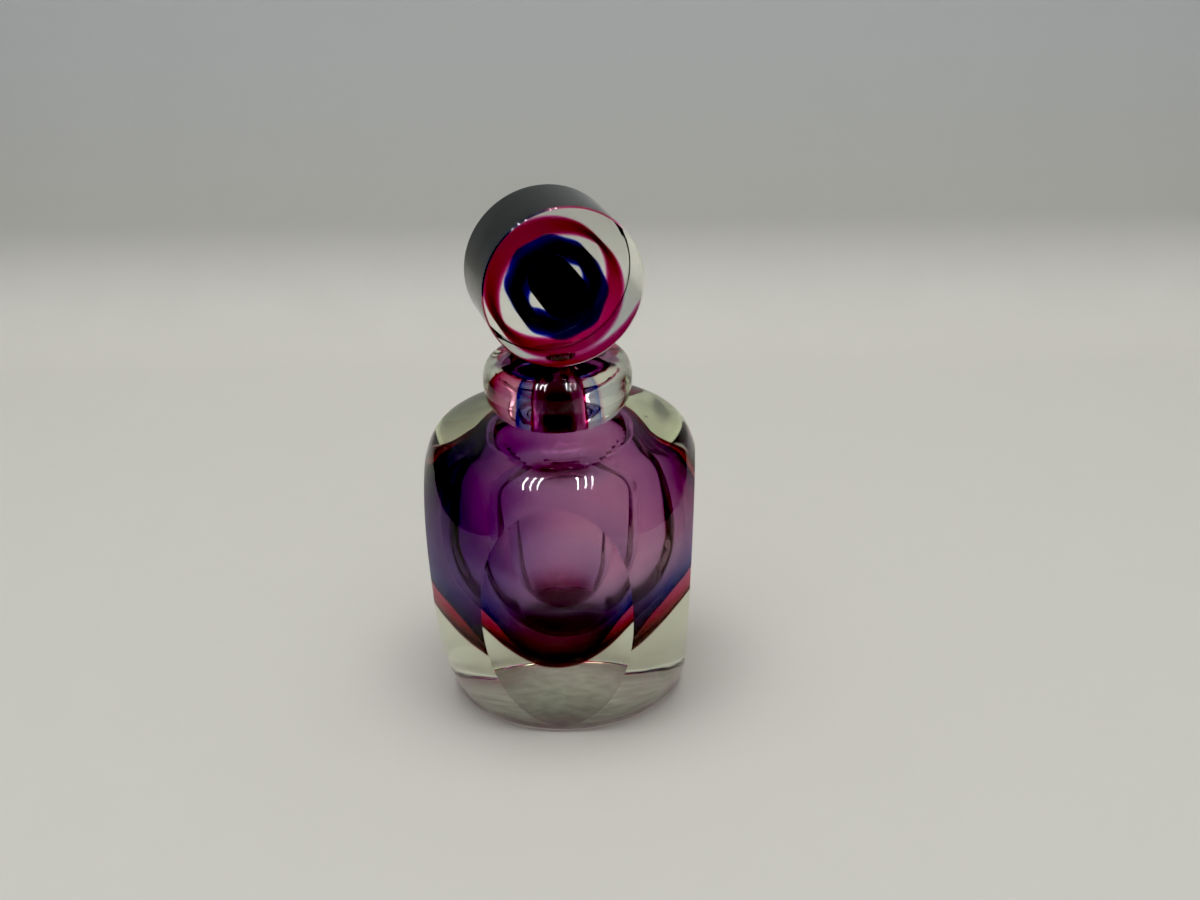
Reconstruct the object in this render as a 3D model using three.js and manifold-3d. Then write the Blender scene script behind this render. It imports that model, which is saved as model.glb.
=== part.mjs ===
import * as THREE from 'three';
import { mergeVertices } from 'three/addons/utils/BufferGeometryUtils.js';
import Module from 'manifold-3d';

// A heavy cased-glass perfume bottle with a disc stopper. Millimetres, +Z up.
// The origin is the middle of the foot, on the surface that the bottle stands on.

// Round body, before its flats are cut
const BODY_HEIGHT = 103.8;
const FOOT_RADIUS = 42.2;
const FOOT_EDGE_HEIGHT = 3.4;
const FOOT_EDGE_INSET = 2.6;
const BELLY_RADIUS = 51.5;
const BELLY_HEIGHT = 60;
const SHOULDER_RADIUS = 47;
const SHOULDER_HEIGHT = 89;
const SHOULDER_TURN = 11;
const FOOT_FULLNESS = 2.4;

// Polished flats on the front, the back and both sides
const FLAT_COUNT = 4;
const FLAT_DEPTH = 0.3;
const FLAT_LEAN = THREE.MathUtils.degToRad(3.1);

// Collar around the mouth
const JOINT_RADIUS = 18.5;
const COLLAR_RADIUS = 25.5;
const COLLAR_WIDEST = 12.8;
const COLLAR_HEIGHT = 21.5;
const COLLAR_TOP_RADIUS = 18;
const MOUTH_FLARE_RADIUS = 8.6;
const MOUTH_FLARE_DEPTH = 3.2;

// Hollow inside
const BORE_RADIUS = 5.6;
const BORE_END = 98.5;
const CAVITY_SHOULDER_RADIUS = 25;
const CAVITY_SHOULDER_HEIGHT = 87;
const CAVITY_RADIUS = 28;
const CAVITY_WIDEST = 62;
const CAVITY_FLOOR = 26;

// Stopper
const DISC_RADIUS = 27.4;
const DISC_THICKNESS = 27.5;
const DISC_EDGE = 0.5;
const DISC_TURN = THREE.MathUtils.degToRad(18.7);
const PLUG_LENGTH = 19.5;
const PLUG_TAPER = 0.35;
const FIT = 0.3;
const REST_GAP = 0.4;

const AROUND = 64;
const PLUG_AROUND = 40;
const EPSILON = 1e-4;

const wasm = await Module();
wasm.setup();

// Heights and radii that follow from the sizes above
const collarBase = BODY_HEIGHT;
const collarTop = collarBase + COLLAR_HEIGHT;
const flatDistance = SHOULDER_RADIUS - FLAT_DEPTH;
const discCentre = collarTop + REST_GAP + DISC_RADIUS;
const plugTopRadius = BORE_RADIUS - FIT;
const plugEnd = collarTop - PLUG_LENGTH;

const point = (x, y) => new THREE.Vector2(x, y);

// Points along a curve, without its first one, so that stretches join end to end
const follow = (curve, steps) => curve.getPoints(steps).slice(1);

// Radius of the barrel: full at the belly, drawn in towards the foot and the shoulder
function barrelRadius(height) {
  if (height < BELLY_HEIGHT) {
    const share = (BELLY_HEIGHT - height) / (BELLY_HEIGHT - FOOT_EDGE_HEIGHT);
    return BELLY_RADIUS - (BELLY_RADIUS - FOOT_RADIUS) * share ** FOOT_FULLNESS;
  }
  const share = (height - BELLY_HEIGHT) / (SHOULDER_HEIGHT - BELLY_HEIGHT);
  return BELLY_RADIUS - (BELLY_RADIUS - SHOULDER_RADIUS) * share ** 2;
}

function barrelPoints(from, to, steps) {
  const points = [];
  for (let step = 1; step <= steps; step += 1) {
    const height = THREE.MathUtils.lerp(from, to, step / steps);
    points.push(point(barrelRadius(height), height));
  }
  return points;
}

// The foot's polished edge, the barrel and the shoulder, up to the collar
function bodyOutline() {
  const footFlat = point(FOOT_RADIUS - FOOT_EDGE_INSET, 0);
  const footTop = point(FOOT_RADIUS, FOOT_EDGE_HEIGHT);
  const footPull = point(FOOT_RADIUS - FOOT_EDGE_INSET / 4, 0);
  const footEdge = new THREE.QuadraticBezierCurve(footFlat, footPull, footTop);
  const shoulder = point(SHOULDER_RADIUS, SHOULDER_HEIGHT);
  const slope = (2 * (BELLY_RADIUS - SHOULDER_RADIUS)) / (SHOULDER_HEIGHT - BELLY_HEIGHT);
  const joint = point(JOINT_RADIUS, collarBase);
  const turn = Math.min(SHOULDER_TURN, 0.75 * (collarBase - SHOULDER_HEIGHT));
  const wallPull = point(SHOULDER_RADIUS - slope * turn, SHOULDER_HEIGHT + turn);
  const domePull = point(SHOULDER_RADIUS - 0.4 * turn, THREE.MathUtils.lerp(wallPull.y, collarBase, 0.35));
  const dome = new THREE.CubicBezierCurve(shoulder, wallPull, domePull, joint);
  return [
    point(0, 0),
    footFlat,
    ...follow(footEdge, 3),
    ...barrelPoints(FOOT_EDGE_HEIGHT, BELLY_HEIGHT, 9),
    ...barrelPoints(BELLY_HEIGHT, SHOULDER_HEIGHT, 5),
    ...follow(dome, 9),
  ];
}

// The bulging collar, from its joint with the shoulder over its top to the flared mouth
function collarOutline() {
  const widest = collarBase + COLLAR_WIDEST;
  const rise = COLLAR_HEIGHT - COLLAR_WIDEST;
  const bulge = COLLAR_RADIUS - JOINT_RADIUS;
  const under = new THREE.CubicBezierCurve(
    point(JOINT_RADIUS, collarBase),
    point(JOINT_RADIUS + 0.48 * bulge, collarBase + 0.08 * COLLAR_WIDEST),
    point(COLLAR_RADIUS, collarBase + 0.45 * COLLAR_WIDEST),
    point(COLLAR_RADIUS, widest),
  );
  const over = new THREE.CubicBezierCurve(
    point(COLLAR_RADIUS, widest),
    point(COLLAR_RADIUS, widest + 0.66 * rise),
    point(THREE.MathUtils.lerp(COLLAR_RADIUS, COLLAR_TOP_RADIUS, 0.3), collarTop),
    point(COLLAR_TOP_RADIUS, collarTop),
  );
  const flare = new THREE.QuadraticBezierCurve(
    point(MOUTH_FLARE_RADIUS, collarTop),
    point(BORE_RADIUS, collarTop),
    point(BORE_RADIUS, collarTop - MOUTH_FLARE_DEPTH),
  );
  return [
    ...follow(under, 7),
    ...follow(over, 6),
    point(MOUTH_FLARE_RADIUS, collarTop),
    ...follow(flare, 3),
  ];
}

// The hollow, from the end of the bore down a broad roof and a slightly swelling wall to a round bowl
function cavityOutline() {
  const bulge = CAVITY_RADIUS - CAVITY_SHOULDER_RADIUS;
  const roofPull = THREE.MathUtils.lerp(BORE_END, CAVITY_SHOULDER_HEIGHT, 0.3);
  const wallPull = THREE.MathUtils.lerp(CAVITY_SHOULDER_HEIGHT, CAVITY_WIDEST, 0.5);
  const roof = new THREE.CubicBezierCurve(
    point(BORE_RADIUS, BORE_END),
    point(BORE_RADIUS, roofPull),
    point(CAVITY_SHOULDER_RADIUS - 0.3 * bulge, roofPull),
    point(CAVITY_SHOULDER_RADIUS, CAVITY_SHOULDER_HEIGHT),
  );
  const wall = new THREE.QuadraticBezierCurve(
    point(CAVITY_SHOULDER_RADIUS, CAVITY_SHOULDER_HEIGHT),
    point(CAVITY_RADIUS, wallPull),
    point(CAVITY_RADIUS, CAVITY_WIDEST),
  );
  const bowlDepth = CAVITY_WIDEST - CAVITY_FLOOR;
  const bowl = new THREE.EllipseCurve(0, CAVITY_WIDEST, CAVITY_RADIUS, bowlDepth, 0, -Math.PI / 2, true);
  const floor = follow(bowl, 8);
  floor[floor.length - 1].x = 0;
  return [point(BORE_RADIUS, BORE_END), ...follow(roof, 7), ...follow(wall, 2), ...floor];
}

// A full turn of an outline whose two ends lie on the axis
function turned(outline, around) {
  const lathe = new THREE.LatheGeometry(outline, around);
  lathe.rotateX(Math.PI / 2);
  return lathe;
}

// Merges a closed geometry's shared corners and hands it over as a solid
function solid(geometry) {
  const bare = new THREE.BufferGeometry();
  bare.setAttribute('position', geometry.getAttribute('position'));
  bare.setIndex(geometry.getIndex());
  const merged = mergeVertices(bare, EPSILON);
  const index = merged.getIndex().array;
  const triangles = [];
  for (let i = 0; i < index.length; i += 3) {
    const [a, b, c] = [index[i], index[i + 1], index[i + 2]];
    if (a !== b && b !== c && c !== a) triangles.push(a, b, c);
  }
  return new wasm.Manifold(new wasm.Mesh({
    numProp: 3,
    vertProperties: new Float32Array(merged.getAttribute('position').array),
    triVerts: new Uint32Array(triangles),
  }));
}

function geometryOf(manifold) {
  const mesh = manifold.getMesh();
  const geometry = new THREE.BufferGeometry();
  geometry.setAttribute('position', new THREE.BufferAttribute(new Float32Array(mesh.vertProperties), 3));
  geometry.setIndex(new THREE.BufferAttribute(new Uint32Array(mesh.triVerts), 1));
  geometry.computeVertexNormals();
  return geometry;
}

// A block standing outside one flat, leaning so that the cut runs deeper towards the foot
function flatCutter(number) {
  const reach = 2 * BELLY_RADIUS;
  const block = new THREE.BoxGeometry(2 * reach, reach, 4 * reach);
  block.translate(0, -reach / 2, 0);
  block.rotateX(FLAT_LEAN);
  block.translate(0, -flatDistance, SHOULDER_HEIGHT);
  block.rotateZ((number * 2 * Math.PI) / FLAT_COUNT);
  return solid(block);
}

function bottleGeometry() {
  const outline = [...bodyOutline(), ...collarOutline(), ...cavityOutline()];
  let bottle = solid(turned(outline, AROUND));
  for (let number = 0; number < FLAT_COUNT; number += 1) bottle = bottle.subtract(flatCutter(number));
  return geometryOf(bottle);
}

// The disc stands on its edge, with its flat faces to the front and the back
function discSolid() {
  const half = DISC_THICKNESS / 2;
  const outline = [
    point(0, -half),
    point(DISC_RADIUS - DISC_EDGE, -half),
    point(DISC_RADIUS, -half + DISC_EDGE),
    point(DISC_RADIUS, half - DISC_EDGE),
    point(DISC_RADIUS - DISC_EDGE, half),
    point(0, half),
  ];
  const disc = new THREE.LatheGeometry(outline, AROUND);
  disc.rotateZ(DISC_TURN);
  disc.translate(0, 0, discCentre);
  return solid(disc);
}

// The ground plug hangs from the disc into the bore and keeps clear of the flared mouth
function plugSolid() {
  const tipRadius = plugTopRadius - PLUG_TAPER;
  const outline = [
    point(0, plugEnd),
    point(tipRadius - DISC_EDGE, plugEnd),
    point(tipRadius, plugEnd + DISC_EDGE),
    point(plugTopRadius, collarTop - MOUTH_FLARE_DEPTH),
    point(plugTopRadius, collarTop + REST_GAP + 1.5),
    point(0, discCentre - 0.6 * DISC_RADIUS),
  ];
  return solid(turned(outline, PLUG_AROUND));
}

function stopperGeometry() {
  return geometryOf(discSolid().add(plugSolid()));
}

const casedGlass = new THREE.MeshStandardMaterial({ color: 0x8a4f7a, roughness: 0.03, metalness: 0 });
const clearGlass = new THREE.MeshStandardMaterial({ color: 0xb8bcae, roughness: 0.03, metalness: 0 });

const bottle = new THREE.Mesh(bottleGeometry(), casedGlass);
bottle.name = 'bottle';

const stopper = new THREE.Mesh(stopperGeometry(), clearGlass);
stopper.name = 'stopper';

const perfumeBottle = new THREE.Group();
perfumeBottle.name = 'perfume_bottle';
perfumeBottle.add(bottle, stopper);

export default perfumeBottle;
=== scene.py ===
# %% [markdown]
# # A cased-glass perfume bottle with a disc stopper
# The bottle is one heavy piece of blown glass. A cobalt skin and a cranberry skin are sealed in its clear glass,
# four flats are ground on its sides, and a thick disc on a ground plug closes its neck. Clear glass shows all that
# is inside it, bent by its own surfaces. The colours could be painted on the outside, but they would then stay still
# while one walks round the bottle. So the inner skins are modelled as real thin bodies in their true places, and the
# renderer's refraction makes the picture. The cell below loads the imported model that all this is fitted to.

# %% Frame
import math

import bmesh
import bpy
from mathutils import Matrix, Vector


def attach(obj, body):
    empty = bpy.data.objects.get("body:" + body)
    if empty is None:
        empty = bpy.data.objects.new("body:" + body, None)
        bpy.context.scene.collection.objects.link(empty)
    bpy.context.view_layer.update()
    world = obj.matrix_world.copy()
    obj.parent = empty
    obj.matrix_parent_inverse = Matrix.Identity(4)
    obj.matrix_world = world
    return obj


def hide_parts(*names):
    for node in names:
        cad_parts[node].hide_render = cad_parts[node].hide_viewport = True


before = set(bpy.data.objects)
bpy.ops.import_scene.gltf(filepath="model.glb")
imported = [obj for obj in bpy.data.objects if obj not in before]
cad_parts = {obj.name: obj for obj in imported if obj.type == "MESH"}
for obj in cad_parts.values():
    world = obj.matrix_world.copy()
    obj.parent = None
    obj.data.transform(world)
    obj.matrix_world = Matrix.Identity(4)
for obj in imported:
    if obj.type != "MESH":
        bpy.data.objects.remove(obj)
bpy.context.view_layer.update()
MM = 0.001
print("packed pieces:", ", ".join(sorted(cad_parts)))

# %% [markdown]
# ## Small helpers
# Every outline here is a list of points (radius, sideways shift, height) in millimetres. Round stretches are Bezier
# curves. Blender has curve objects for them, but a few lines of arithmetic put the same points straight into a mesh:
# step the same share along each line between the control points, then along the lines between those, until one
# point is left. An outline then needs only a few named sizes.

# %% Outline helpers
def curve(controls, steps, first=False):
    """Points along a Bezier curve of any degree, without its first one unless asked."""
    points = []
    for step in range(0 if first else 1, steps + 1):
        share, row = step / steps, [Vector(c) for c in controls]
        while len(row) > 1:
            row = [a.lerp(b, share) for a, b in zip(row, row[1:])]
        points.append(row[0])
    return points


def lerp(a, b, share):
    return a + (b - a) * share


def ramp(value, start, end):
    """How far a value is from start to end, held between 0 and 1."""
    return min(max((value - start) / (end - start), 0), 1)


def through(stations, steps):
    """A smooth line through stations, without its first point. Each is eased by its neighbours."""
    ends = [Vector(s) for s in (stations[0], *stations, stations[-1])]
    pulls = [(after - before) / 6 for before, after in zip(ends, ends[2:])]
    points = []
    for here, there, pull_here, pull_there in zip(ends[1:], ends[2:], pulls, pulls[1:]):
        points += curve([here, here + pull_here, there - pull_there, there], steps)
    return points


# %% [markdown]
# ## Colours and nodes
# Colours are written as sRGB hex, as a colour picker shows them, and one function turns them to the linear values
# that light is added up in. Another adds a shader or geometry node with its settings and links.

# %% Colour and node helpers
def linear(text):
    """A hex colour as linear red, green, blue and alpha."""
    shares = [int(text[i:i + 2], 16) / 255 for i in (1, 3, 5)]
    return (*[s / 12.92 if s <= 0.04045 else ((s + 0.055) / 1.055) ** 2.4 for s in shares], 1.0)


def add_node(tree, kind, settings=None, **inputs):
    """Adds a node, sets its properties, then its inputs. An input given as a socket is linked."""
    node = tree.nodes.new(kind)
    for key, value in (settings or {}).items():
        setattr(node, key, value)
    for key, value in inputs.items():
        name = key.replace("_", " ")
        socket = node.inputs[int(name[5:])] if name.startswith("input") else node.inputs[name]
        if isinstance(value, bpy.types.NodeSocket):
            tree.links.new(value, socket)
        else:
            socket.default_value = value
    return node


# %% [markdown]
# ## Turning an outline on the lathe
# Glass is worked round an axis, so nearly every body here is an outline turned once round. A Geometry Nodes tree
# does it: a grid has one row for each outline point and one column for each step round, and each grid point looks up
# its outline point. The Screw modifier turns outlines too, but only true circles. Here the outline's middle number
# shifts that ring sideways, because hand-gathered colour is never quite central, and each outline point carries a
# wave, by which its ring swells and shrinks as often as Lobes says.

# %% Lathe tree
def lathe_tree():
    """The lathe. It gets an outline as a line of points and gives back a welded, smooth, closed body."""
    tree = bpy.data.node_groups.new("turn an outline", "GeometryNodeTree")
    sockets = tree.interface
    sockets.new_socket("Geometry", in_out="INPUT", socket_type="NodeSocketGeometry")
    sockets.new_socket("Around", in_out="INPUT", socket_type="NodeSocketInt")
    sockets.new_socket("Lobes", in_out="INPUT", socket_type="NodeSocketFloat")
    sockets.new_socket("Weld", in_out="INPUT", socket_type="NodeSocketFloat")
    sockets.new_socket("Glass", in_out="INPUT", socket_type="NodeSocketMaterial")
    sockets.new_socket("Geometry", in_out="OUTPUT", socket_type="NodeSocketGeometry")

    def maths(operation, a, b=0.0):
        return add_node(tree, "ShaderNodeMath", {"operation": operation}, input0=a, input1=b).outputs[0]

    given = add_node(tree, "NodeGroupInput").outputs
    count = add_node(tree, "GeometryNodeAttributeDomainSize", Geometry=given["Geometry"]).outputs["Point Count"]
    grid = add_node(tree, "GeometryNodeMeshGrid", Vertices_X=maths("ADD", given["Around"], 1.0), Vertices_Y=count)
    index = add_node(tree, "GeometryNodeInputIndex").outputs[0]
    along = maths("MODULO", index, count)
    step = maths("FLOOR", maths("DIVIDE", maths("ADD", index, 0.5), count))
    angle = maths("DIVIDE", maths("MULTIPLY", step, math.tau), given["Around"])
    place = add_node(tree, "GeometryNodeInputPosition").outputs[0]
    looked_up = add_node(tree, "GeometryNodeSampleIndex", {"data_type": "FLOAT_VECTOR"},
                         Geometry=given["Geometry"], Index=along)
    tree.links.new(place, looked_up.inputs["Value"])
    point = add_node(tree, "ShaderNodeSeparateXYZ", Vector=looked_up.outputs[0]).outputs
    wave = add_node(tree, "GeometryNodeInputNamedAttribute", {"data_type": "FLOAT"}, Name="wave").outputs["Attribute"]
    waved = add_node(tree, "GeometryNodeSampleIndex", {"data_type": "FLOAT"}, Geometry=given["Geometry"], Index=along)
    tree.links.new(wave, waved.inputs["Value"])
    ripple = maths("MULTIPLY", waved.outputs[0], maths("COSINE", maths("MULTIPLY", angle, given["Lobes"])))
    off_axis = maths("GREATER_THAN", point["X"], 1e-6)
    radius = maths("ADD", point["X"], maths("MULTIPLY", ripple, off_axis))
    side = maths("ADD", maths("MULTIPLY", radius, maths("COSINE", angle)), point["Y"])
    depth = maths("MULTIPLY", radius, maths("SINE", angle))
    turned = add_node(tree, "ShaderNodeCombineXYZ", X=side, Y=depth, Z=point["Z"]).outputs[0]
    moved = add_node(tree, "GeometryNodeSetPosition", Geometry=grid.outputs["Mesh"], Position=turned)
    welded = add_node(tree, "GeometryNodeMergeByDistance", Geometry=moved.outputs[0], Distance=given["Weld"])
    smooth = add_node(tree, "GeometryNodeSetShadeSmooth", Geometry=welded.outputs[0])
    real = add_node(tree, "GeometryNodeRealizeInstances", Geometry=smooth.outputs[0])
    dressed = add_node(tree, "GeometryNodeSetMaterial", Geometry=real.outputs[0], Material=given["Glass"])
    add_node(tree, "NodeGroupOutput", Geometry=dressed.outputs[0])
    return tree


LATHE = lathe_tree()
SOCKETS = {item.name: item.identifier for item in LATHE.interface.items_tree if item.in_out == "INPUT"}
print("lathe tree:", len(LATHE.nodes), "nodes")


# %% [markdown]
# ## From the lathe to a plain mesh
# A modifier's result is only worked out when it is asked for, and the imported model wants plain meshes. So each body
# is turned, copied out as a mesh, welded where its first and last columns meet, and told which of its edges are
# sharp. Glass shades smoothly across small angles alone, so the limit between the two is a named size.

# %% Turned bodies
CREASE = math.radians(24)
WELD = 0.002 * MM


def bake(piece):
    """Swaps a piece for what its modifiers make of it, and removes them."""
    shape = bpy.data.meshes.new_from_object(piece.evaluated_get(bpy.context.evaluated_depsgraph_get()))
    piece.modifiers.clear()
    piece.data = shape


def wear(piece, *materials):
    """Gives a piece these materials alone, the first on all its faces."""
    piece.data.materials.clear()
    for material in materials:
        piece.data.materials.append(material)
    piece.data.polygons.foreach_set("material_index", [0] * len(piece.data.polygons))


def tidy_mesh(piece, crease=CREASE):
    """Welds a mesh, points its faces outwards and marks its sharp edges."""
    work = bmesh.new()
    work.from_mesh(piece.data)
    bmesh.ops.remove_doubles(work, verts=work.verts, dist=WELD)
    bmesh.ops.dissolve_degenerate(work, dist=WELD, edges=work.edges)
    bmesh.ops.recalc_face_normals(work, faces=work.faces)
    for edge in work.edges:
        edge.smooth = edge.is_manifold and edge.calc_face_angle(0) < crease
    for face in work.faces:
        face.smooth = True
    work.to_mesh(piece.data)
    work.free()


def turned(name, outline, glass, around=128, lobes=0, waves=None):
    """A closed body turned from an outline in millimetres, as an object of its own. Waves has one size a point."""
    mesh = bpy.data.meshes.new(name)
    mesh.from_pydata([Vector(p) * MM for p in outline], [(i, i + 1) for i in range(len(outline) - 1)], [])
    sizes = [size * MM for size in waves or [0.0] * len(outline)]
    mesh.attributes.new("wave", "FLOAT", "POINT").data.foreach_set("value", sizes)
    piece = bpy.data.objects.new(name, mesh)
    bpy.context.scene.collection.objects.link(piece)
    lathe = piece.modifiers.new("lathe", "NODES")
    lathe.node_group = LATHE
    for key, value in {"Around": around, "Lobes": float(lobes), "Weld": WELD, "Glass": glass}.items():
        lathe[SOCKETS[key]] = value
    bake(piece)
    wear(piece, glass)
    tidy_mesh(piece)
    print(name, len(piece.data.polygons), "faces")
    return piece


# %% [markdown]
# ## Clear and coloured glass
# All the glass is soda-lime glass, which has an index of refraction of 1.5. A Glass shader alone would show it
# without a colour of its own, but thick glass takes off a little of every colour, most of blue, so that a few
# centimetres of it look faintly straw-green. A volume that absorbs gives that by depth. The coloured skins are fused
# into the clear glass, so light doesn't bend where it enters them: their index step is 1. They only absorb, and the
# colour that they show comes from the length of the light's way through them.

# %% What each glass absorbs
GLASS_INDEX = 1.5
FUSED_INDEX = 1.0
# Red, green and blue: light of that colour falls to 1/e of itself in this part of a metre.
DYES = {
    "clear soda-lime glass": (3.2, 2.7, 5.2),
    "cranberry glass": (240, 1320, 740),
    "cobalt glass": (900, 500, 100),
    "stopper cobalt glass": (1500, 1300, 250),
    "stopper cranberry glass": (120, 900, 380),
    "plug cranberry glass": (18, 260, 100),
}


def absorbing(tree, per_metre):
    """A plain absorption volume that takes off the given shares of red, green and blue light per metre."""
    density = max(per_metre)
    colour = (*[1 - taken / density for taken in per_metre], 1)
    return add_node(tree, "ShaderNodeVolumeAbsorption", Color=colour, Density=density).outputs[0]


# %% Patterns and blank materials
def noise(tree, scale, detail=2.0):
    """A noise pattern fixed to the object, with the given number of its features in a metre."""
    place = add_node(tree, "ShaderNodeTexCoord").outputs["Object"]
    return add_node(tree, "ShaderNodeTexNoise", Vector=place, Scale=scale, Detail=detail).outputs[0]


def spread(tree, value, low, high):
    """Brings a pattern's usual values, 0.35 to 0.65, to a range from low to high."""
    return add_node(tree, "ShaderNodeMapRange", Value=value, From_Min=0.35, From_Max=0.65, To_Min=low,
                    To_Max=high).outputs[0]


def blank_material(name):
    """A material and its tree, with no nodes in it yet."""
    material = bpy.data.materials.new(name)
    material.use_nodes = True
    material.node_tree.nodes.clear()
    return material, material.node_tree


def glass_material(name, index, dye, roughness=0.0):
    """Glass that bends light by its index and absorbs it by its dye."""
    material, tree = blank_material(name)
    shader = add_node(tree, "ShaderNodeBsdfPrincipled", Base_Color=(1, 1, 1, 1), Roughness=roughness, IOR=index)
    shader.inputs["Transmission Weight"].default_value = 1
    add_node(tree, "ShaderNodeOutputMaterial", Surface=shader.outputs[0], Volume=absorbing(tree, dye))
    return material


def polish(material, waves_per_metre, wave_depth, roughness):
    """Shallow waves that make the picture in the glass swim, and haze in faint patches of about 6 mm."""
    tree = material.node_tree
    shader = tree.nodes["Principled BSDF"]
    ripple = add_node(tree, "ShaderNodeBump", Strength=1.0, Distance=wave_depth, Height=noise(tree, waves_per_metre))
    tree.links.new(ripple.outputs[0], shader.inputs["Normal"])
    tree.links.new(spread(tree, noise(tree, 160, 5.0), *roughness), shader.inputs["Roughness"])


# %% The glasses
# Clear soda-lime glass, polished on a wheel by hand. It gives the eye clean highlights and a bent picture of what is
# inside. The polisher's waves are about 22 mm apart.
CLEAR = glass_material("clear soda-lime glass", GLASS_INDEX, DYES["clear soda-lime glass"])
polish(CLEAR, waves_per_metre=45, wave_depth=0.15 * MM, roughness=(0.0, 0.012))
# Cranberry glass, blown thin between clear layers. It lets red through, some blue and hardly any green, so it looks
# pink where light crosses it once and dark red where it runs along it.
CRANBERRY = glass_material("cranberry glass", FUSED_INDEX, DYES["cranberry glass"])
# Cobalt glass, blown thin. It lets most blue through, and over the cranberry it makes violet.
COBALT = glass_material("cobalt glass", FUSED_INDEX, DYES["cobalt glass"])
# The stopper's cobalt, drawn in a cane. It is near black in its depth, and a deep blue at its edges.
STOPPER_COBALT = glass_material("stopper cobalt glass", FUSED_INDEX, DYES["stopper cobalt glass"])
# The stopper's cranberry, drawn in a cane. It stays a clear red however deep one looks into it.
STOPPER_CRANBERRY = glass_material("stopper cranberry glass", FUSED_INDEX, DYES["stopper cranberry glass"])
# The plug's cranberry, a pale tint through its whole width, so that the plug is dim red and not black.
PLUG_CRANBERRY = glass_material("plug cranberry glass", FUSED_INDEX, DYES["plug cranberry glass"])
print("coloured and clear glasses:", ", ".join(DYES))

# %% [markdown]
# ## Black glass
# Black glass is so deeply dyed that no light gets through. A volume could do that, but an opaque shader does it with
# fewer steps of light. It is fused into clear glass, which leaves it no mirror of its own, so its specular level is
# nought. Streaks about 8 mm wide keep it from looking like a hole.


# %% Black glass
def black_material():
    """Black glass drawn in a cane: two near blacks in streaks, and a sheen that varies every 2 mm."""
    material, tree = blank_material("black glass")
    streaks = add_node(tree, "ShaderNodeMix", {"data_type": "RGBA"}, Factor=spread(tree, noise(tree, 120, 3.0), 0, 1))
    streaks.inputs[6].default_value, streaks.inputs[7].default_value = linear("#010101"), linear("#040304")
    shader = add_node(tree, "ShaderNodeBsdfPrincipled", Base_Color=streaks.outputs[2],
                      Roughness=spread(tree, noise(tree, 500), 0.4, 0.6))
    shader.inputs["Specular IOR Level"].default_value = 0
    add_node(tree, "ShaderNodeOutputMaterial", Surface=shader.outputs[0])
    return material


BLACK = black_material()
print("black glass:", len(BLACK.node_tree.nodes), "nodes")

# %% [markdown]
# ## The bottle's clear glass
# The outline runs from the middle of the foot up the barrel, over the shoulder and the collar, down the flared bore
# and round the hollow to its floor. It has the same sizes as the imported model, but many more steps, because glass
# shows each facet. One outline for the outside and the hollow makes one closed body, with no inner wall to forget.

# %% Bottle sizes
BODY_HEIGHT = 103.8
FOOT_RADIUS, FOOT_EDGE_HEIGHT, FOOT_EDGE_INSET, FOOT_FULLNESS = 42.2, 3.4, 2.6, 2.4
BELLY_RADIUS, BELLY_HEIGHT = 51.5, 60.0
SHOULDER_RADIUS, SHOULDER_HEIGHT, SHOULDER_TURN = 47.0, 89.0, 11.0
FLAT_COUNT, FLAT_DEPTH, FLAT_LEAN = 4, 0.3, math.radians(3.1)
JOINT_RADIUS, COLLAR_RADIUS, COLLAR_WIDEST, COLLAR_HEIGHT, COLLAR_TOP_RADIUS = 18.5, 25.5, 12.8, 21.5, 18.0
MOUTH_FLARE_RADIUS, MOUTH_FLARE_DEPTH = 8.6, 3.2
BORE_RADIUS, BORE_END = 5.6, 98.5
CAVITY_SHOULDER_RADIUS, CAVITY_SHOULDER_HEIGHT = 25.0, 87.0
CAVITY_RADIUS, CAVITY_WIDEST, CAVITY_FLOOR = 28.0, 62.0, 26.0
COLLAR_TOP = BODY_HEIGHT + COLLAR_HEIGHT


# %% Bottle outline
WALL_ROWS, BOWL_STEPS = 120, 36


def barrel_radius(height):
    """The wall's radius: widest at the belly, and drawn in fuller towards the foot than towards the shoulder."""
    if height < BELLY_HEIGHT:
        share = (BELLY_HEIGHT - height) / (BELLY_HEIGHT - FOOT_EDGE_HEIGHT)
        return BELLY_RADIUS - (BELLY_RADIUS - FOOT_RADIUS) * share ** FOOT_FULLNESS
    share = (height - BELLY_HEIGHT) / (SHOULDER_HEIGHT - BELLY_HEIGHT)
    return BELLY_RADIUS - (BELLY_RADIUS - SHOULDER_RADIUS) * share ** 2


def body_outline():
    """Underside, rounded foot edge, wall and shoulder. Two pulls beyond the wall's end round the shoulder."""
    foot = FOOT_RADIUS - FOOT_EDGE_INSET
    edge = [(foot, 0, 0), (FOOT_RADIUS - FOOT_EDGE_INSET / 4, 0, 0), (FOOT_RADIUS, 0, FOOT_EDGE_HEIGHT)]
    heights = [lerp(FOOT_EDGE_HEIGHT, SHOULDER_HEIGHT, row / WALL_ROWS) for row in range(1, WALL_ROWS + 1)]
    slope = 2 * (BELLY_RADIUS - SHOULDER_RADIUS) / (SHOULDER_HEIGHT - BELLY_HEIGHT)
    wall_pull = (SHOULDER_RADIUS - slope * SHOULDER_TURN, 0, SHOULDER_HEIGHT + SHOULDER_TURN)
    dome_pull = (SHOULDER_RADIUS - 0.4 * SHOULDER_TURN, 0, lerp(wall_pull[2], BODY_HEIGHT, 0.35))
    dome = [(SHOULDER_RADIUS, 0, SHOULDER_HEIGHT), wall_pull, dome_pull, (JOINT_RADIUS, 0, BODY_HEIGHT)]
    return ([Vector((0, 0, 0)), Vector((foot * 0.5, 0, 0))] + curve(edge, 10, first=True)
            + [Vector((barrel_radius(h), 0, h)) for h in heights] + curve(dome, 60))


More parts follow.
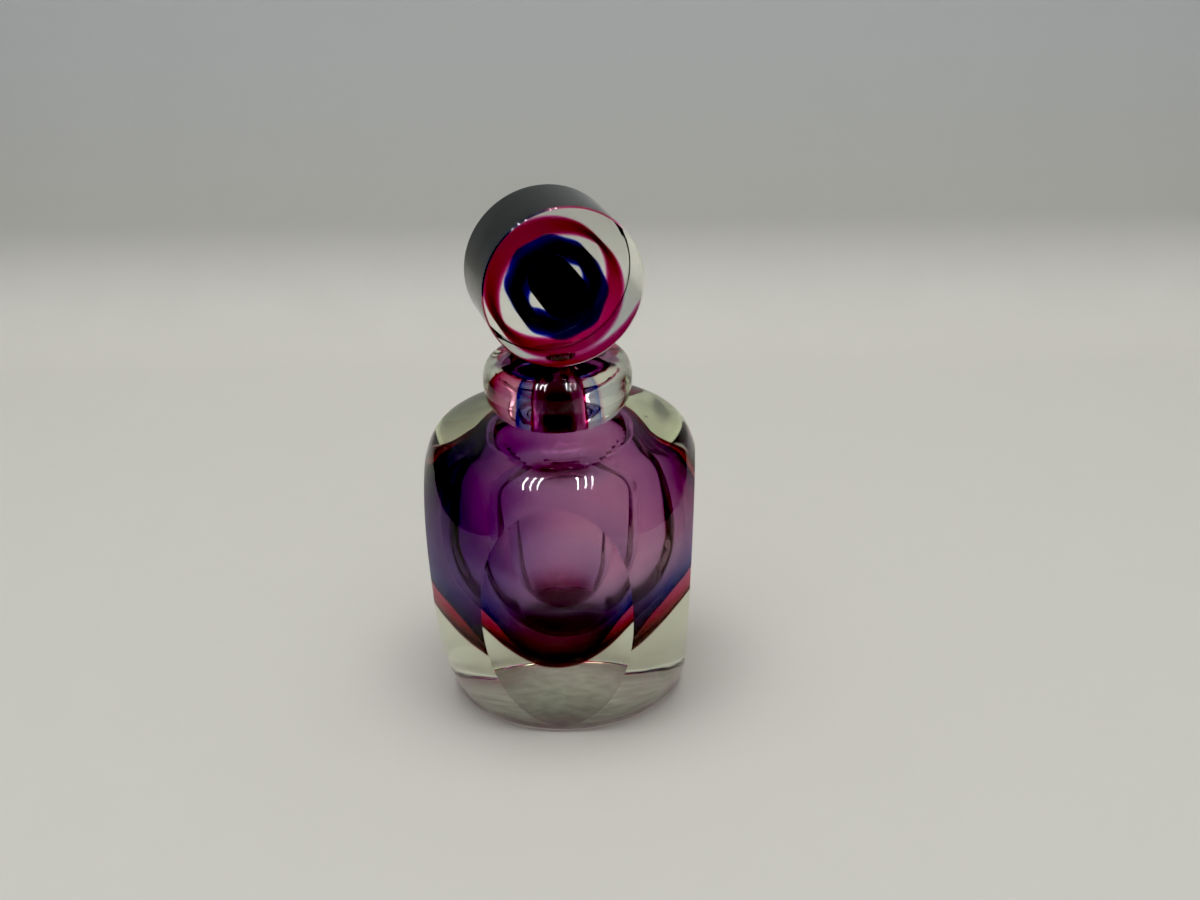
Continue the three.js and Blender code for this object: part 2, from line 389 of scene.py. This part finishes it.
def collar_outline():
    """Up round the collar to its flat top, and over the flared mouth into the bore."""
    widest, rise, bulge = BODY_HEIGHT + COLLAR_WIDEST, COLLAR_HEIGHT - COLLAR_WIDEST, COLLAR_RADIUS - JOINT_RADIUS
    under = [(JOINT_RADIUS, 0, BODY_HEIGHT), (JOINT_RADIUS + 0.48 * bulge, 0, BODY_HEIGHT + 0.08 * COLLAR_WIDEST),
             (COLLAR_RADIUS, 0, BODY_HEIGHT + 0.45 * COLLAR_WIDEST), (COLLAR_RADIUS, 0, widest)]
    over = [(COLLAR_RADIUS, 0, widest), (COLLAR_RADIUS, 0, widest + 0.66 * rise),
            (lerp(COLLAR_RADIUS, COLLAR_TOP_RADIUS, 0.3), 0, COLLAR_TOP), (COLLAR_TOP_RADIUS, 0, COLLAR_TOP)]
    flare = [(MOUTH_FLARE_RADIUS, 0, COLLAR_TOP), (BORE_RADIUS, 0, COLLAR_TOP),
             (BORE_RADIUS, 0, COLLAR_TOP - MOUTH_FLARE_DEPTH)]
    return curve(under, 32) + curve(over, 28) + [Vector((MOUTH_FLARE_RADIUS, 0, COLLAR_TOP))] + curve(flare, 10)


def cavity_outline():
    """From the bore down a broad roof, a wall that swells a little and a round bowl."""
    top, bulge = BORE_END, CAVITY_RADIUS - CAVITY_SHOULDER_RADIUS
    roof_pull = lerp(top, CAVITY_SHOULDER_HEIGHT, 0.3)
    wall_pull = lerp(CAVITY_SHOULDER_HEIGHT, CAVITY_WIDEST, 0.5)
    shoulder = (CAVITY_SHOULDER_RADIUS, 0, CAVITY_SHOULDER_HEIGHT)
    roof = [(BORE_RADIUS, 0, top), (BORE_RADIUS, 0, roof_pull), (CAVITY_SHOULDER_RADIUS - 0.3 * bulge, 0, roof_pull),
            shoulder]
    wall = [shoulder, (CAVITY_RADIUS, 0, wall_pull), (CAVITY_RADIUS, 0, CAVITY_WIDEST)]
    turns = [math.pi / 2 * step / BOWL_STEPS for step in range(1, BOWL_STEPS + 1)]
    bowl = [Vector((CAVITY_RADIUS * math.cos(t), 0, lerp(CAVITY_WIDEST, CAVITY_FLOOR, math.sin(t)))) for t in turns]
    bowl[-1].x = 0
    return [Vector((BORE_RADIUS, 0, top))] + curve(roof, 24) + curve(wall, 16) + bowl


# %% [markdown]
# ## Flats and ground faces
# Four flats are ground on the sides, each leaning in towards the foot. A Boolean with four blocks would cut them,
# but bisecting the mesh with a plane leaves one clean face, and glass shows each stray edge. The underside was only
# ground, so it is frosted, and the bore and the plug were ground into each other with a finer grit.


# %% Flats
def cut_flats(piece):
    """Grinds the four flats, each a plane that leans in towards the foot."""
    work = bmesh.new()
    work.from_mesh(piece.data)
    for number in range(FLAT_COUNT):
        turn = Matrix.Rotation(number * math.tau / FLAT_COUNT, 3, "Z")
        place = turn @ Vector((0, -(SHOULDER_RADIUS - FLAT_DEPTH), SHOULDER_HEIGHT)) * MM
        outwards = turn @ Vector((0, -math.cos(FLAT_LEAN), -math.sin(FLAT_LEAN)))
        everything = work.verts[:] + work.edges[:] + work.faces[:]
        cut = bmesh.ops.bisect_plane(work, geom=everything, dist=1e-7, plane_co=place, plane_no=outwards,
                                     clear_outer=True)["geom_cut"]
        bmesh.ops.edgenet_fill(work, edges=[e for e in cut if isinstance(e, bmesh.types.BMEdge)])
    work.to_mesh(piece.data)
    work.free()
    tidy_mesh(piece, crease=math.radians(4))


bottle = turned("bottle_glass", body_outline() + collar_outline() + cavity_outline(), CLEAR, around=192)
cut_flats(bottle)
print("bottle with flats:", len(bottle.data.polygons), "faces")

# %% Ground faces
# Ground glass, cut on a stone and left so: frosted, grey-white and dull. Its grit marks of about 0.1 mm are too fine
# to show, so they are drawn about 1 mm apart.
GROUND = glass_material("ground glass", GLASS_INDEX, DYES["clear soda-lime glass"])
polish(GROUND, waves_per_metre=900, wave_depth=0.02 * MM, roughness=(0.5, 0.7))
# Fine-ground glass, as in a ground joint: it only blurs what is behind it. Its marks are also drawn coarser than
# they are, about 0.7 mm apart.
FINE_GROUND = glass_material("fine-ground glass", GLASS_INDEX, DYES["clear soda-lime glass"])
polish(FINE_GROUND, waves_per_metre=1500, wave_depth=0.01 * MM, roughness=(0.22, 0.34))
NEAR_BORE, UNGROUND_RIM, UNDERSIDE = 6.5, 1.0, 0.01


def regrind(piece, material, is_ground):
    """Gives a piece's faces whose middle passes a test of radius and height, in millimetres, a ground material."""
    piece.data.materials.append(material)
    for face in piece.data.polygons:
        if is_ground(face.center.xy.length / MM, face.center.z / MM):
            face.material_index = len(piece.data.materials) - 1


regrind(bottle, GROUND, lambda radius, height: height < UNDERSIDE)
regrind(bottle, FINE_GROUND,
        lambda radius, height: radius < NEAR_BORE and BORE_END < height < COLLAR_TOP - UNGROUND_RIM)
print("ground faces:", sum(face.material_index > 0 for face in bottle.data.polygons))

# %% [markdown]
# ## The coloured skins
# The glassmaker gathered clear glass over the bubble, dipped it in cobalt, then in clear, in cranberry and last in
# the thick clear casing. Each colour is a skin of about half a millimetre. Its outer side is a smooth line through a
# few stations, and its inner side is the same line drawn in by the skin's thickness, which is greatest under the
# bubble, where the gather sank. The colour also ran to the left, so the inner side is shifted to the right by a share
# of the thickness, and in the cobalt skin a wave with two lobes thins it at the front and the back, where one looks
# straight through.
# A painted surface would be simpler, but its colour wouldn't deepen where the light runs along it.

# %% Skin outlines
RIM_GAP = 0.3
SKIN_STEPS = 10


def at_height(steps, height):
    """The value at a height, between steps of (height, value) that are joined by straight lines."""
    for (low, here), (high, there) in zip(steps, steps[1:]):
        if height < high:
            return lerp(here, there, ramp(height, low, high))
    return steps[-1][1]


def skin_sides(outer, depths, leans, pinch):
    """Outline points up the outside, over the rim and down the inside, and the wave of each."""
    inner, waves = [], []
    for number, here in enumerate(outer):
        before, after = outer[max(number - 1, 0)], outer[min(number + 1, len(outer) - 1)]
        run = Vector((after.x - before.x, after.z - before.z)).normalized()
        depth = at_height(depths, here.z)
        drift = depth * at_height(leans, here.z)
        inner.append(Vector((max(here.x - depth * run.y, 0), here.y + drift, here.z + depth * run.x)))
        waves.append(-pinch * depth * abs(run.y))
    inner[0].x = 0
    inner[-1].z = outer[-1].z
    return outer + inner[::-1], [0.0] * len(outer) + waves[::-1]


def body_skin(name, glass, stations, depths, leans, pinch):
    """A skin through its stations (radius, shift, height) and on up the neck."""
    line = [Vector(stations[0])] + through(stations, SKIN_STEPS)
    line += curve([line[-1], (line[-1].x, line[-1].y, COLLAR_TOP - RIM_GAP)], 6)
    outline, waves = skin_sides(line, depths, leans, pinch)
    return turned(name, outline, glass, around=256, lobes=2, waves=waves)


CRANBERRY_STATIONS = [(0, -2.5, 13.3), (9, -2.5, 15.0), (19, -2.5, 22.5), (28, -2.5, 33), (35.5, -2.5, 42),
                      (38.5, -2.5, 48), (37.5, -2.4, 55), (34.5, -1.9, 64), (31.2, -1.0, 73), (28.7, -0.2, 83),
                      (25.8, -0.5, 91), (17, -2.0, 98.6), (12.5, -3.2, 104)]
COBALT_STATIONS = [(0, -2.5, 16.0), (8, -2.5, 17.5), (16, -2.5, 23.5), (22.5, -2.5, 33), (30, -2.5, 43),
                   (34.5, -2.4, 50), (34.8, -2.2, 57), (32.4, -1.6, 65), (29.5, -0.6, 74), (27.3, 0, 83),
                   (24.2, 0, 91), (14.8, -0.2, 97.6), (9.1, -0.2, 101)]
cranberry = body_skin("cranberry_skin", CRANBERRY, CRANBERRY_STATIONS,
                      depths=[(13, 3.2), (20, 2.6), (27, 1.1), (34, 0.5), (42, 0.4), (50, 0.46), (62, 0.54), (95, 0.56),
                              (103, 0.22)],
                      leans=[(38, 0.0), (56, 0.55), (68, 0.4), (92, 0.2), (102, 0.95)], pinch=0.0)
cobalt = body_skin("cobalt_skin", COBALT, COBALT_STATIONS,
                   depths=[(16, 0.5), (30, 0.5), (45, 0.46), (58, 0.4), (72, 0.33), (95, 0.31), (103, 0.2)],
                   leans=[(38, 0.0), (56, 1.0), (68, 0.85), (90, 0.5), (102, 0.8)], pinch=0.35)

# %% [markdown]
# ## The lining of the bore
# The neck was drawn out of the same gather, so a thin cranberry layer lies close round the bore too. It could be
# part of the cranberry skin, but a short tube of its own keeps both bodies closed. It stands a little off the bore,
# because two surfaces in one place make blotches where the renderer can't tell which comes first.

# %% Lining of the bore
LINING_GAP, LINING_THICKNESS = 0.15, 0.35
inside, outside = BORE_RADIUS + LINING_GAP, BORE_RADIUS + LINING_GAP + LINING_THICKNESS
lining_low, lining_high = BORE_END + 2, COLLAR_TOP - MOUTH_FLARE_DEPTH
lining = turned("bore_lining", [(inside, 0, lining_low), (outside, 0, lining_low), (outside, 0, lining_high),
                                (inside, 0, lining_high), (inside, 0, lining_low)], CRANBERRY, around=128)

# %% [markdown]
# ## Seeds
# Hand-gathered glass holds a few seeds, as glassmakers call its small bubbles. A Geometry Nodes tree throws a fixed
# number of them at random places and sizes between two radii and two heights. They could be placed one by one, but
# the seed number makes them look unplanned, and the same in each run. Each is a hole in the glass, so its index is
# that of air in glass, and it holds no colour.


# %% Air in the glass
def air_material():
    """Air in glass: a bright point with a dark edge. Its skin's faint haze changes every half millimetre."""
    material, tree = blank_material("air in glass")
    shader = add_node(tree, "ShaderNodeBsdfPrincipled", Base_Color=(1, 1, 1, 1), IOR=1 / GLASS_INDEX,
                      Roughness=spread(tree, noise(tree, 2000), 0.0, 0.02))
    shader.inputs["Transmission Weight"].default_value = 1
    add_node(tree, "ShaderNodeOutputMaterial", Surface=shader.outputs[0])
    return material


SEED_AIR = air_material()


# %% Seed tree
def seed_tree():
    """Throws Count balls between the radii Inner and Outer and the heights Low and High."""
    tree = bpy.data.node_groups.new("throw seeds", "GeometryNodeTree")
    tree.interface.new_socket("Geometry", in_out="INPUT", socket_type="NodeSocketGeometry")
    for name in ("Count", "Seed"):
        tree.interface.new_socket(name, in_out="INPUT", socket_type="NodeSocketInt")
    for name in ("Inner", "Outer", "Low", "High", "Smallest", "Largest"):
        tree.interface.new_socket(name, in_out="INPUT", socket_type="NodeSocketFloat")
    tree.interface.new_socket("Glass", in_out="INPUT", socket_type="NodeSocketMaterial")
    tree.interface.new_socket("Geometry", in_out="OUTPUT", socket_type="NodeSocketGeometry")
    given = add_node(tree, "NodeGroupInput").outputs

    def pick(low, high, step):
        turn = add_node(tree, "ShaderNodeMath", {"operation": "ADD"}, input0=given["Seed"], input1=step).outputs[0]
        node = add_node(tree, "FunctionNodeRandomValue", {"data_type": "FLOAT"}, Seed=turn)
        for socket, value in ((node.inputs[2], low), (node.inputs[3], high)):
            if isinstance(value, float):
                socket.default_value = value
            else:
                tree.links.new(value, socket)
        return node.outputs[1]

    arm = add_node(tree, "ShaderNodeCombineXYZ", X=pick(given["Inner"], given["Outer"], 1.0),
                   Z=pick(given["Low"], given["High"], 2.0)).outputs[0]
    place = add_node(tree, "ShaderNodeVectorRotate", {"rotation_type": "Z_AXIS"}, Vector=arm,
                     Angle=pick(0.0, math.tau, 3.0)).outputs[0]
    dots = add_node(tree, "GeometryNodePoints", Count=given["Count"], Position=place).outputs[0]
    ball = add_node(tree, "GeometryNodeMeshIcoSphere", Radius=1.0, Subdivisions=3).outputs["Mesh"]
    balls = add_node(tree, "GeometryNodeInstanceOnPoints", Points=dots, Instance=ball,
                     Scale=pick(given["Smallest"], given["Largest"], 4.0)).outputs[0]
    real = add_node(tree, "GeometryNodeRealizeInstances", Geometry=balls).outputs[0]
    smooth = add_node(tree, "GeometryNodeSetShadeSmooth", Geometry=real).outputs[0]
    add_node(tree, "NodeGroupOutput", Geometry=add_node(tree, "GeometryNodeSetMaterial", Geometry=smooth,
                                                        Material=given["Glass"]).outputs[0])
    return tree


SEEDS = seed_tree()
print("seed tree:", len(SEEDS.nodes), "nodes")


# %% Seeds in the foot and in the wall
def seeds(name, **values):
    """A throw of seeds as one plain mesh. Its values are named as the tree's inputs are."""
    piece = bpy.data.objects.new(name, bpy.data.meshes.new(name))
    bpy.context.scene.collection.objects.link(piece)
    thrower = piece.modifiers.new("seeds", "NODES")
    thrower.node_group = SEEDS
    for item in SEEDS.interface.items_tree:
        if item.in_out == "INPUT" and item.name != "Geometry":
            thrower[item.identifier] = SEED_AIR if item.name == "Glass" else values[item.name]
    bake(piece)
    wear(piece, SEED_AIR)
    print(name, values["Count"], "bubbles")
    return piece


foot_seeds = seeds("foot_seeds", Count=16, Seed=4, Inner=6 * MM, Outer=32 * MM, Low=3.5 * MM, High=10 * MM,
                   Smallest=0.12 * MM, Largest=0.4 * MM)
wall_seeds = seeds("wall_seeds", Count=18, Seed=11, Inner=39.5 * MM, Outer=42.3 * MM, Low=60 * MM, High=80 * MM,
                   Smallest=0.1 * MM, Largest=0.3 * MM)

# %% [markdown]
# ## The stopper
# The disc was sawn from a cane of layered glass and polished, so its rings run through its whole thickness: a black
# core, a cobalt ring with a softly rippled edge and a cranberry ring. They sit a little low in the disc. A picture
# of rings on both faces would look right from the front alone, so each ring is a tube through the disc. The disc
# and the ground plug under it are one piece of glass, so a Boolean joins them: without it the plug's top would show
# as a surface inside the disc.

# %% Stopper sizes
DISC_RADIUS, DISC_THICKNESS, DISC_EDGE = 27.4, 27.5, 0.5
DISC_TURN = math.radians(18.7)
PLUG_LENGTH, PLUG_TAPER, PLUG_REACH, FIT, REST_GAP = 19.5, 0.35, 0.6, 0.3, 0.4
RINGS_DROP, RING_END_GAP = 2.3, 0.12
CORE_RADIUS = 8.0
COBALT_RING_INNER, COBALT_RING_OUTER, COBALT_LOBES, COBALT_WAVE, COBALT_PLACE = 10.9, 15.4, 8, 0.35, -0.5
CRANBERRY_RING_INNER, CRANBERRY_RING_OUTER, CRANBERRY_EDGE, CRANBERRY_PLACE = 20.3, 22.1, 0.3, -1.5
DISC_CENTRE = COLLAR_TOP + REST_GAP + DISC_RADIUS
DISC_PLACE = (Matrix.Translation((0, 0, DISC_CENTRE * MM)) @ Matrix.Rotation(DISC_TURN, 4, "Z")
              @ Matrix.Rotation(math.pi / 2, 4, "X"))


# %% Stopper glass
def disc_outline():
    """From the middle of one face over the small bevels to the middle of the other."""
    half, edge = DISC_THICKNESS / 2, DISC_RADIUS - DISC_EDGE
    return [Vector(p) for p in ((0, 0, -half), (edge / 2, 0, -half), (edge, 0, -half),
                                (DISC_RADIUS, 0, DISC_EDGE - half), (DISC_RADIUS, 0, 0),
                                (DISC_RADIUS, 0, half - DISC_EDGE), (edge, 0, half), (edge / 2, 0, half),
                                (0, 0, half))]


def plug_outline(inset=0.0, top=DISC_CENTRE - PLUG_REACH * DISC_RADIUS):
    """A plug that tapers a little downwards and reaches up into the disc."""
    high = BORE_RADIUS - FIT
    low, end = high - PLUG_TAPER, COLLAR_TOP - PLUG_LENGTH
    side = [(low - inset, 0, end + DISC_EDGE + inset), (high - inset, 0, COLLAR_TOP - MOUTH_FLARE_DEPTH)]
    return [Vector(p) for p in ((0, 0, end + inset), (low - DISC_EDGE - inset, 0, end + inset), *side,
                                (high - inset, 0, top), (0, 0, top))]


stopper = turned("stopper_glass", disc_outline(), CLEAR, around=256)
stopper.data.transform(DISC_PLACE)
plug = turned("plug_blank", plug_outline(), CLEAR, around=96)
join = stopper.modifiers.new("join", "BOOLEAN")
join.operation, join.solver, join.object = "UNION", "EXACT", plug
bake(stopper)
bpy.data.objects.remove(plug)
tidy_mesh(stopper)
regrind(stopper, FINE_GROUND, lambda radius, height: radius < NEAR_BORE and height < COLLAR_TOP - UNGROUND_RIM)
print("stopper:", len(stopper.data.polygons), "faces")


# %% Stopper rings
def ring(name, glass, inner, outer, lobes=0, wave=0.0, shift=0.0, place=0.0):
    """A tube or rod through the disc, turned from a rectangle. Shift moves its inner side, place all of it."""
    half = DISC_THICKNESS / 2 - RING_END_GAP
    corners = [(inner, shift, -half), (outer, 0, -half), (outer, 0, half), (inner, shift, half)]
    if inner:
        corners.append(corners[0])
    piece = turned(name, corners, glass, around=192, lobes=lobes, waves=[wave] * len(corners))
    piece.data.transform(DISC_PLACE @ Matrix.Translation((place * MM, -RINGS_DROP * MM, 0)))
    return piece


black_core = ring("black_core", BLACK, 0, CORE_RADIUS)
cobalt_ring = ring("cobalt_ring", STOPPER_COBALT, COBALT_RING_INNER, COBALT_RING_OUTER, COBALT_LOBES, COBALT_WAVE,
                   place=COBALT_PLACE)
cranberry_ring = ring("cranberry_ring", STOPPER_CRANBERRY, CRANBERRY_RING_INNER, CRANBERRY_RING_OUTER,
                      shift=CRANBERRY_EDGE, place=CRANBERRY_PLACE)

# %% Core of the plug
PLUG_COAT, PLUG_CORE_TOP = 0.15, COLLAR_TOP - 1.0
plug_core = turned("plug_core", plug_outline(PLUG_COAT, PLUG_CORE_TOP), PLUG_CRANBERRY, around=64)

# %% [markdown]
# ## Pieces and what they stand for
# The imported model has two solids. The two clear bodies stand for them, and what is sealed inside belongs to the same
# glass. The stopper only rests in the neck and nothing is hinged, so all of it rides on one body.

# %% Pieces and what they stand for
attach(bottle, "root")
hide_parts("bottle")
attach(stopper, "root")
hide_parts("stopper")
for piece, slot in ((cranberry, "cranberry_glass"), (cobalt, "cobalt_glass"), (black_core, "black_glass"),
                    (cobalt_ring, "cobalt_glass"), (cranberry_ring, "cranberry_glass"),
                    (plug_core, "cranberry_glass"), (lining, "cranberry_glass"), (foot_seeds, "bottle_glass"),
                    (wall_seeds, "bottle_glass")):
    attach(piece, "root")

# %% [markdown]
# ## Floor and backdrop
# A sheet of pale matt paper lies as the floor and curves up into a wall, so that the glass has something even to
# bend. Two planes would leave a hard line between them, so one strip runs through the curve. It ends a little way to
# each side, and there the glass bends the darker room instead, which draws the dark edges that make glass readable.

# %% Paper
def paper_material():
    """Matt paper, warm where it lies as the floor and a little cooler where it stands as the wall. Its real grain of
    about 0.2 mm is too fine to show, so it is drawn 1.4 mm wide."""
    material, tree = blank_material("matt paper")
    place = add_node(tree, "ShaderNodeTexCoord").outputs["Object"]
    height = add_node(tree, "ShaderNodeSeparateXYZ", Vector=place).outputs["Z"]
    standing = add_node(tree, "ShaderNodeMapRange", Value=height, From_Min=0.0, From_Max=0.15)
    tint = add_node(tree, "ShaderNodeMix", {"data_type": "RGBA"}, Factor=standing.outputs[0])
    tint.inputs[6].default_value, tint.inputs[7].default_value = linear("#CAC8C1"), linear("#CACED0")
    grain = add_node(tree, "ShaderNodeBump", Strength=0.3, Distance=0.1 * MM, Height=noise(tree, 700, 4.0))
    shader = add_node(tree, "ShaderNodeBsdfPrincipled", Base_Color=tint.outputs[2], Normal=grain.outputs[0],
                      Roughness=spread(tree, noise(tree, 40), 0.7, 0.8))
    add_node(tree, "ShaderNodeOutputMaterial", Surface=shader.outputs[0])
    return material


# %% Floor and backdrop
FLOOR_GAP = 0.25
SWEEP_START, SWEEP_RADIUS, SWEEP_STEPS, WALL_HEIGHT, FLOOR_SIDE, FLOOR_FRONT = 300.0, 60.0, 16, 700.0, 440.0, 700.0


def sweep():
    """One strip: flat from the front, round through a quarter turn and straight up."""
    turns = [math.pi / 2 * step / SWEEP_STEPS for step in range(SWEEP_STEPS + 1)]
    line = [(-FLOOR_FRONT, -FLOOR_GAP)]
    line += [(SWEEP_START + SWEEP_RADIUS * math.sin(t), SWEEP_RADIUS * (1 - math.cos(t)) - FLOOR_GAP) for t in turns]
    line += [(SWEEP_START + SWEEP_RADIUS, WALL_HEIGHT)]
    verts = [(x * MM, y * MM, z * MM) for x in (-FLOOR_SIDE, FLOOR_SIDE) for y, z in line]
    count = len(line)
    mesh = bpy.data.meshes.new("backdrop")
    mesh.from_pydata(verts, [], [(i, i + count, i + count + 1, i + 1) for i in range(count - 1)])
    mesh.materials.append(paper_material())
    for face in mesh.polygons:
        face.use_smooth = True
    floor = bpy.data.objects.new("backdrop", mesh)
    bpy.context.scene.collection.objects.link(floor)
    return floor


sweep()

# %% [markdown]
# ## Light
# Glass shows its lamps as much as itself. One broad lamp above lights the paper and casts the soft shadow. It would
# show as a white patch on every flat, so it is hidden from mirror reflections. The short bright lines on the
# shoulder are the reflections of long ceiling tubes that run away behind the camera, so narrow lamps stand there,
# seen in reflections and nowhere else.


# %% Light
OVERHEAD_WATTS, TUBE_WATTS, TUBE_WIDTH, TUBE_REACH = 12.6, 12, 0.025, 2.0
LAMP_HEIGHT, TUBE_MIDDLE = 1.5, -1.33
# How far to the right each tube is at its near end and at its far end, in metres.
TUBES = ((-0.46, -1.34), (-0.34, -1.05), (-0.22, -0.76), (0.22, 0.76), (0.34, 1.05), (0.46, 1.34))


def soft_light(name, place, target, width, height, watts):
    """A rectangular lamp that faces its target."""
    data = bpy.data.lights.new(name, "AREA")
    data.shape, data.size, data.size_y, data.energy = "RECTANGLE", width, height, watts
    lamp = bpy.data.objects.new(name, data)
    lamp.location = place
    lamp.rotation_euler = (Vector(target) - Vector(place)).to_track_quat("-Z", "Y").to_euler()
    bpy.context.scene.collection.objects.link(lamp)
    return lamp


soft_light("overhead", (0.0, -0.1, LAMP_HEIGHT), (0, 0, 0.08), 1.2, 0.9, OVERHEAD_WATTS).visible_glossy = False
for near, far in TUBES:
    run = Vector((far - near, -TUBE_REACH))
    middle = ((near + far) / 2, TUBE_MIDDLE, LAMP_HEIGHT)
    tube = soft_light("ceiling tube", middle, (middle[0], middle[1], 0), TUBE_WIDTH, run.length, TUBE_WATTS)
    tube.rotation_euler = (0, 0, math.atan2(-run.x, run.y))
    tube.visible_diffuse = tube.visible_transmission = False

print("lamps:", len(bpy.data.lights))

# %% [markdown]
# ## Room
# Past the paper the glass bends and mirrors the room. A photograph of a room could be wrapped round the scene, but
# two shades are enough: a warm grey-brown at table height that turns to a pale ceiling overhead.

# %% Room
ROOM_STRENGTH = 0.64
world = bpy.data.worlds.new("room")
world.use_nodes = True
bpy.context.scene.world = world
air = world.node_tree
direction = add_node(air, "ShaderNodeTexCoord").outputs["Generated"]
towards = add_node(air, "ShaderNodeSeparateXYZ", Vector=direction).outputs
upwards = add_node(air, "ShaderNodeMapRange", Value=towards["Z"], From_Min=-0.1, From_Max=0.75, To_Min=0.0, To_Max=1.0)
air.nodes["Background"].inputs["Strength"].default_value = ROOM_STRENGTH
shades = add_node(air, "ShaderNodeMix", {"data_type": "RGBA"}, Factor=upwards.outputs[0])
shades.inputs[6].default_value, shades.inputs[7].default_value = linear("#6E6660"), linear("#E4E6E4")
air.links.new(shades.outputs[2], air.nodes["Background"].inputs["Color"])
print("room strength:", ROOM_STRENGTH)

# %% [markdown]
# ## Camera and picture
# The camera looks down on the bottle by about 25 degrees, from a few centimetres to the right, and is held a little
# askew. The Standard view keeps the pale floor as pale as it is. Clear surfaces lay a thin grey veil over dark glass,
# and the black level takes it off again. Light crosses many surfaces before it leaves such a bottle, so it is
# followed for more bounces than usual, or the deepest parts would go black.

# %% Camera
FOCAL_LENGTH, SENSOR_WIDTH = 49.5, 36.0
CAMERA_PLACE = (0.0400, -0.5186, 0.3341)
CAMERA_TURN, CAMERA_DOWN, CAMERA_ROLL = 2.9, 25.28, -1.75
camera_data = bpy.data.cameras.new("camera")
camera_data.lens, camera_data.sensor_width = FOCAL_LENGTH, SENSOR_WIDTH
camera = bpy.data.objects.new("camera", camera_data)
camera.matrix_world = (Matrix.Translation(CAMERA_PLACE) @ Matrix.Rotation(math.radians(CAMERA_TURN), 4, "Z")
                       @ Matrix.Rotation(math.radians(90 - CAMERA_DOWN), 4, "X")
                       @ Matrix.Rotation(math.radians(CAMERA_ROLL), 4, "Z"))
bpy.context.scene.collection.objects.link(camera)
bpy.context.scene.camera = camera
print("camera stands", round(Vector(CAMERA_PLACE).length / MM), "mm from the foot")

# %% Picture
BOUNCES, MIRROR_BOUNCES = 40, 16
BLACK_LEVEL = 0.026
view = bpy.context.scene.view_settings
view.view_transform = "Standard"
view.exposure = 0.1
view.use_curve_mapping = True
view.curve_mapping.black_level = (BLACK_LEVEL, BLACK_LEVEL, BLACK_LEVEL)
cycles = bpy.context.scene.cycles
cycles.max_bounces = BOUNCES
cycles.transmission_bounces = BOUNCES
cycles.glossy_bounces = MIRROR_BOUNCES
cycles.transparent_max_bounces = BOUNCES
